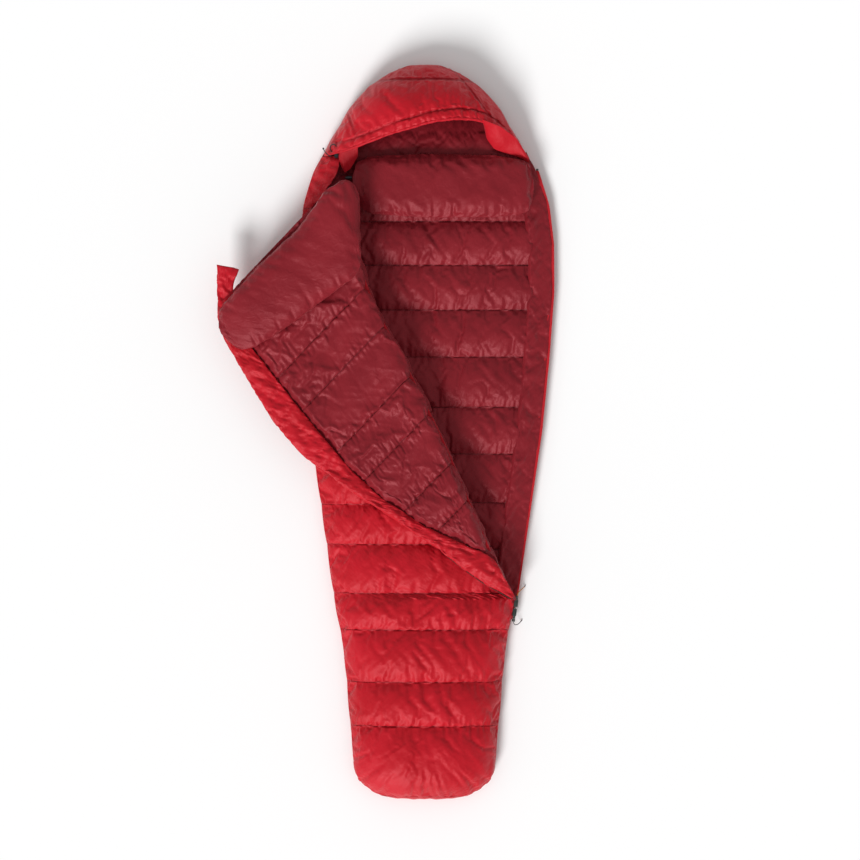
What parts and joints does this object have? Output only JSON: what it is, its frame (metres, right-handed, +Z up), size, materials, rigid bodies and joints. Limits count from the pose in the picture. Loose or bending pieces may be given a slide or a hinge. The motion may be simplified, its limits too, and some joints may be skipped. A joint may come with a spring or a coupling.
{
  "type": "mummy sleeping bag",
  "caption": "Tapered quilted sleeping bag with hood, side zip and padded collars, opened with its cover folded back.",
  "frame": {"origin": "on the floor under the bag's centre line, half way along its length", "axes": "+Y from the foot towards the hood, +Z up, +X towards the zip side"},
  "size_m": [0.9693, 2.1015, 0.1883],
  "materials": {
    "shell_fabric": "red ripstop nylon taffeta with a soft sheen",
    "lining_fabric": "dark red downproof nylon taffeta",
    "down_fill": "white down clusters",
    "zip_tape": "woven red polyester tape",
    "zip_coil": "dark green-black nylon coil",
    "zip_metal": "dark green-grey painted die-cast zinc",
    "pull_cord_orange": "orange woven cord with a heat-shrunk grey end",
    "pull_cord_grey": "dark grey woven cord",
    "drawcord": "black elastic drawcord",
    "lock_plastic": "black moulded acetal",
    "spring_steel": "music wire"
  },
  "bodies": {
    "back": {"back_collar": "lining_fabric", "back_fill_01": "down_fill", "back_fill_02": "down_fill", "back_fill_03": "down_fill", "back_fill_04": "down_fill", "back_fill_05": "down_fill", "back_fill_06": "down_fill", "back_fill_07": "down_fill", "back_fill_08": "down_fill", "back_fill_09": "down_fill", "back_fill_10": "down_fill", "back_fill_11": "down_fill", "back_fill_12": "down_fill", "back_liner": "lining_fabric", "back_shell": "shell_fabric", "collar_cord_lock": "lock_plastic", "cover_fill_01": "down_fill", "cover_fill_02": "down_fill", "cover_fill_03": "down_fill", "cover_fill_04": "down_fill", "cover_fill_05": "down_fill", "cover_fill_06": "down_fill", "cover_fill_07": "down_fill", "cover_liner": "lining_fabric", "cover_shell": "shell_fabric", "foot_panel": "shell_fabric", "zip_coil_back": "zip_coil", "zip_end_stops": "zip_metal", "zip_side_panel": "lining_fabric", "zip_tape_back": "zip_tape"},
    "flap": {"flap_fill_01": "down_fill", "flap_fill_02": "down_fill", "flap_fill_03": "down_fill", "flap_fill_04": "down_fill", "flap_fill_05": "down_fill", "flap_fill_06": "down_fill", "flap_fill_07": "down_fill", "flap_liner": "lining_fabric", "flap_shell": "shell_fabric", "draft_tube": "shell_fabric", "front_collar": "lining_fabric", "zip_tape_flap": "zip_tape", "zip_coil_flap": "zip_coil"},
    "hood_canopy": {"hood_fill_01": "down_fill", "hood_fill_02": "down_fill", "hood_shell": "shell_fabric", "hood_liner": "lining_fabric", "hood_hem": "shell_fabric", "hood_drawcord": "drawcord", "hood_cord_tail": "drawcord"},
    "slider_lower": {"zip_slider_lower": "zip_metal"},
    "slider_upper": {"zip_slider_upper": "zip_metal"},
    "tab_lower": {"pull_tab_lower": "zip_metal", "pull_cord_lower": "pull_cord_grey"},
    "tab_upper": {"pull_tab_upper": "zip_metal", "pull_cord_upper": "pull_cord_orange"},
    "cord_lock": {"cord_lock_barrel": "lock_plastic", "cord_lock_spring": "spring_steel", "hood_cord_loop": "drawcord"},
    "lock_button": {"cord_lock_button": "lock_plastic"}
  },
  "joints": [
    {"name": "flap_fold", "type": "hinge", "parent": "back", "child": "flap", "pos_m": [0.26, -0.483, 0.112], "axis": [-0.3903, 0.9205, 0.0187], "range_deg": [0, 191], "deforming": ["front_collar", "back_collar"]},
    {"name": "hood_lift", "type": "hinge", "parent": "back", "child": "hood_canopy", "pos_m": [0, 1.0545, 0.03], "axis": [-1, 0, 0], "range_deg": [0, 20]},
    {"name": "slider_lower_slide", "type": "slide", "parent": "back", "child": "slider_lower", "axis": [0.1455, 0.9894, 0], "range_m": [0, 0.22]},
    {"name": "slider_upper_slide", "type": "slide", "parent": "slider_lower", "child": "slider_upper", "axis": [0.1455, 0.9894, 0], "range_m": [0, 0.27]},
    {"name": "tab_lower_swing", "type": "hinge", "parent": "slider_lower", "child": "tab_lower", "pos_m": [0.25921, -0.52, 0.0335], "axis": [-0.9894, 0.1455, 0], "range_deg": [0, 120]},
    {"name": "tab_upper_swing", "type": "hinge", "parent": "slider_upper", "child": "tab_upper", "pos_m": [0.26304, -0.494, 0.0335], "axis": [0.9894, -0.1455, 0], "range_deg": [0, 100]},
    {"name": "cord_lock_slide", "type": "slide", "parent": "hood_canopy", "child": "cord_lock", "axis": [-1, 0, 0], "range_m": [0, 0.008]},
    {"name": "lock_button_press", "type": "slide", "parent": "cord_lock", "child": "lock_button", "axis": [0, 0, -1], "range_m": [0, 0.004], "stiffness_N_per_m": 300, "springref_m": -0.002, "deforming": ["cord_lock_spring"]}
  ]
}
